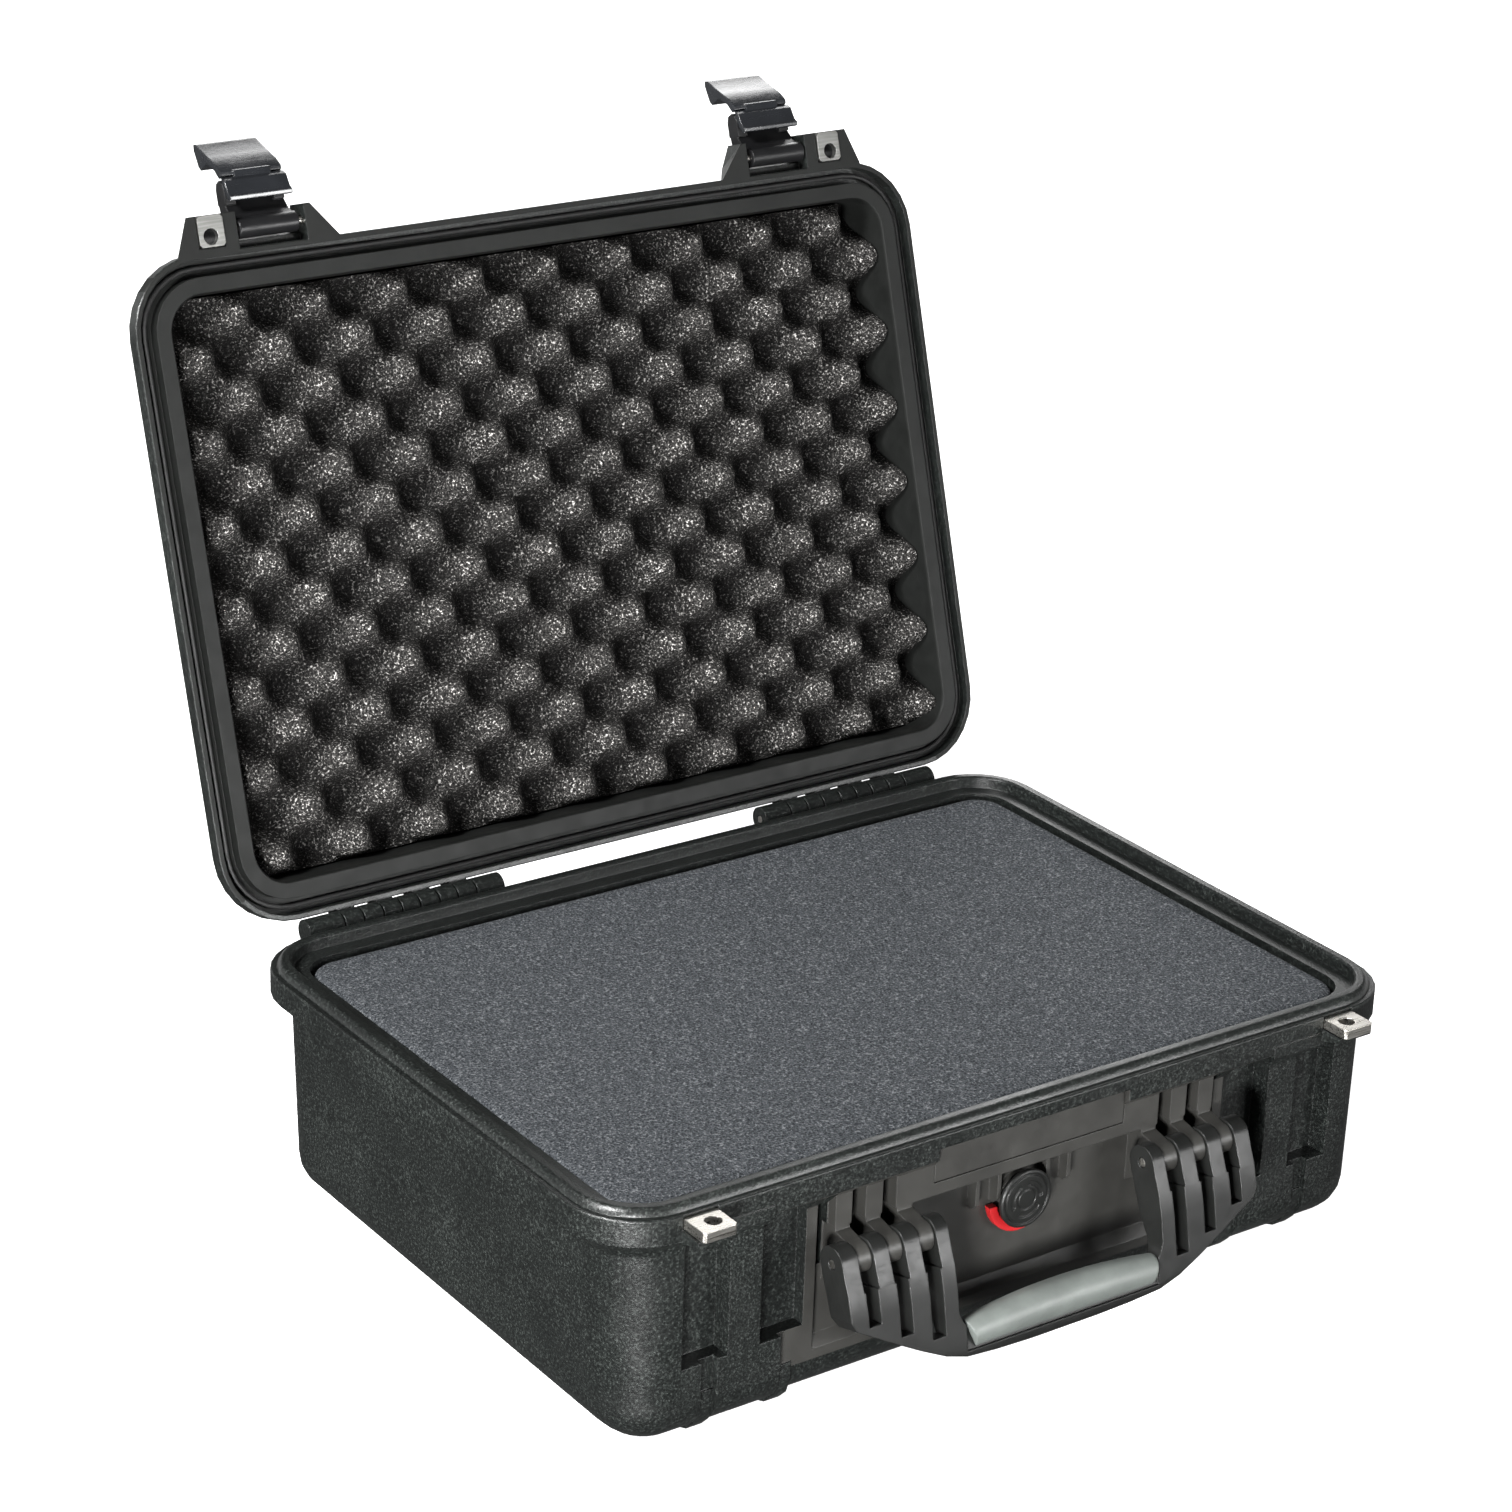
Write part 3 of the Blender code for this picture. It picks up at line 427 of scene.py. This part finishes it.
def knob():
    """The valve's cap: a rounded rim, a groove inside it, a hub and three curved finger slots."""
    # Each point is a radius and a depth behind the cap's face
    rim = [(14.0, 2.95), (14.9, 2.2), (15.0, 0.9), (14.6, 0.25), (13.9, 0.0), (13.2, 0.1)]
    groove = [(12.9, 0.75), (12.2, 0.75), (11.9, 0.1)]
    slots = [(9.6, 0.0), (9.3, 0.0), (7.3, 0.0), (7.0, 0.0)]
    hub = [(5.6, 0.0), (5.3, 0.5), (4.8, 0.5), (4.5, 0.05), (1.5, 0.0)]
    slot_inner, slot_outer, slot_depth = 7.2, 9.4, 0.7
    steps, steps_per_slot, open_steps = 120, 40, 29
    bm = bmesh.new()
    loops = []
    for radius, depth in rim + groove + slots + hub:
        loop = []
        for step in range(steps):
            turn = math.tau * step / steps
            in_slot = slot_inner < radius < slot_outer and step % steps_per_slot < open_steps
            y = VALVE_Y + SHIFT_Y + depth + (slot_depth if in_slot else 0.0)
            x, z = radius * math.cos(turn), VALVE_Z + radius * math.sin(turn)
            loop.append(bm.verts.new(Vector((x, y, z)) * MM))
        loops.append(loop)
    for outer, inner in zip(loops, loops[1:]):
        for index in range(steps):
            following = (index + 1) % steps
            bm.faces.new((outer[index], outer[following], inner[following], inner[index]))
    bm.faces.new(loops[0])
    bm.faces.new(loops[-1])
    piece = from_bmesh(bm, "valve_cap", 40.0)
    piece.data.materials.append(HANDLE)
    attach(piece, "valve")
    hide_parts("valve_knob")
    return piece


# ---------------------------------------------------------------- assembly


def handle_area(place):
    """The smoother block, lugs and hollow behind the handle, in the middle of the front wall."""
    drawn = place / MM
    in_front = abs(drawn.x) < BLOCK_HALF_X and drawn.y < BLOCK_BACK_Y + SHIFT_Y
    return in_front and BLOCK_Z[0] < drawn.z < BLOCK_Z[1]


def lid_inside(place):
    """The lid's inner band, between the seal and the foam, which takes the darker finish as painted
    shade.
    """
    hinge = Vector(joints["lid_hinge"]["pos_m"])
    drawn = (hinge + Matrix.Rotation(LID_OPEN, 3, "X") @ (place - hinge)) / MM
    inside = abs(drawn.x) < BAND_HALF_X and abs(drawn.y - SHIFT_Y) < BAND_HALF_Y
    return inside and drawn.z < BAND_TOP_Z


def dress():
    """Put a skin or a finish on every piece; widths are in millimetres."""
    skin("base_shell", "case", SHELL, 0.35, zone=(SMOOTH, handle_area))
    # the lid's inner band takes the painted shade finish
    skin("lid_shell", "lid", SHELL, 0.35, zone=(LID_BAND_SHADE, lid_inside))
    skin("handle_frame", "handle", HANDLE, 0.6)
    skin("handle_grip", "handle", GRIP, 1.2, segments=3)
    knob()
    skin("nameplate", "case", PLATE, 0.3)
    for side in ("left", "right"):
        skin("latch_link_" + side, "link_" + side, LINK, 0.5)
        skin("latch_lever_" + side, "lever_" + side, LATCH, 0.5)
        skin("padlock_plate_base_" + side, "case", STEEL, 0.4)
        skin("padlock_plate_lid_" + side, "lid", DULL_STEEL, 0.4)
    finishes = {"valve_body": HANDLE, "valve_o_ring": RED, "lid_o_ring": SEAL}
    for name, item in nodes.items():
        if "_pin_" in name:
            finishes[name] = STEEL
    for name, finish in finishes.items():
        nodes[name].data.materials.clear()
        nodes[name].data.materials.append(finish)
    egg_crate()
    foam_block("foam_bottom_pad", 12.0, 22.0, 29.0, 1.0)
    foam_block("pluck_foam_lower", 22.4, 71.0, 21.2, 1.0)
    foam_block("pluck_foam_upper", 71.4, 121.2, 21.2, 4.5)


def surroundings():
    """A dim room with a pale band at the horizon, which meets the pale floor."""
    world = bpy.data.worlds.new("studio")
    world.use_nodes = True
    tree = world.node_tree
    axes = tree.nodes.new("ShaderNodeSeparateXYZ")
    tree.links.new(tree.nodes.new("ShaderNodeTexCoord").outputs["Generated"], axes.inputs[0])
    height = tree.nodes.new("ShaderNodeMath")
    height.operation = "ABSOLUTE"
    tree.links.new(axes.outputs["Z"], height.inputs[0])
    ramp = tree.nodes.new("ShaderNodeValToRGB")
    tree.links.new(height.outputs[0], ramp.inputs["Fac"])
    levels = ((0.0, 0.95), (0.09, 0.88), (0.24, 0.10))  # distance from the horizon, brightness
    ramp.color_ramp.elements.new(0.5)
    for element, (place, level) in zip(ramp.color_ramp.elements, levels):
        element.position = place
        element.color = (level, level, level, 1.0)
    tree.links.new(ramp.outputs["Color"], tree.nodes["Background"].inputs["Color"])
    tree.nodes["Background"].inputs["Strength"].default_value = 1.0
    return world


def studio():
    """A pale floor that casts nothing back on the case, the room's light and four lamps."""
    size = 30.0
    corners = [(-size, -size, 0), (size, -size, 0), (size, size, 0), (-size, size, 0)]
    mesh = bpy.data.meshes.new("floor")
    mesh.from_pydata(corners, [], [(0, 1, 2, 3)])
    floor = link(mesh, "floor")
    floor.location.z = -0.0002  # just below the feet
    floor.data.materials.append(floor_paint())
    floor.visible_diffuse = False
    floor.visible_glossy = False
    bpy.context.scene.world = surroundings()
    bpy.context.scene.view_settings.view_transform = "Standard"
    lamp("key", (-2.3, -0.45, 2.2), 0.7, 190.0)
    lamp("front", (0.9, -1.8, 0.35), 0.8, 24.0)
    lamp("corner", (-1.1, -1.15, 0.10), 0.35, 72.0)
    lamp("back", (1.6, 2.3, 1.7), 1.5, 38.0)


def lamp(name, place, size, power):
    """A round lamp aimed at the case; metres and watts."""
    data = bpy.data.lights.new(name, "AREA")
    data.shape = "DISK"
    data.size = size
    data.energy = power
    made = bpy.data.objects.new(name, data)
    bpy.context.scene.collection.objects.link(made)
    made.location = place
    aim = LIT_POINT - Vector(place)
    made.rotation_mode = "QUATERNION"
    made.rotation_quaternion = aim.to_track_quat("-Z", "Y")


def camera():
    """The photograph's viewpoint, solved from the case's edges."""
    data = bpy.data.cameras.new("camera")
    data.sensor_width = 36.0
    data.lens = 93.905
    data.clip_start = 0.05
    data.clip_end = 100.0
    made = bpy.data.objects.new("camera", data)
    bpy.context.scene.collection.objects.link(made)
    turn = Euler([math.radians(angle) for angle in VIEW_TURN])
    made.matrix_world = Matrix.LocRotScale(VIEW_PLACE, turn, None)
    bpy.context.scene.camera = made


dress()
studio()
camera()
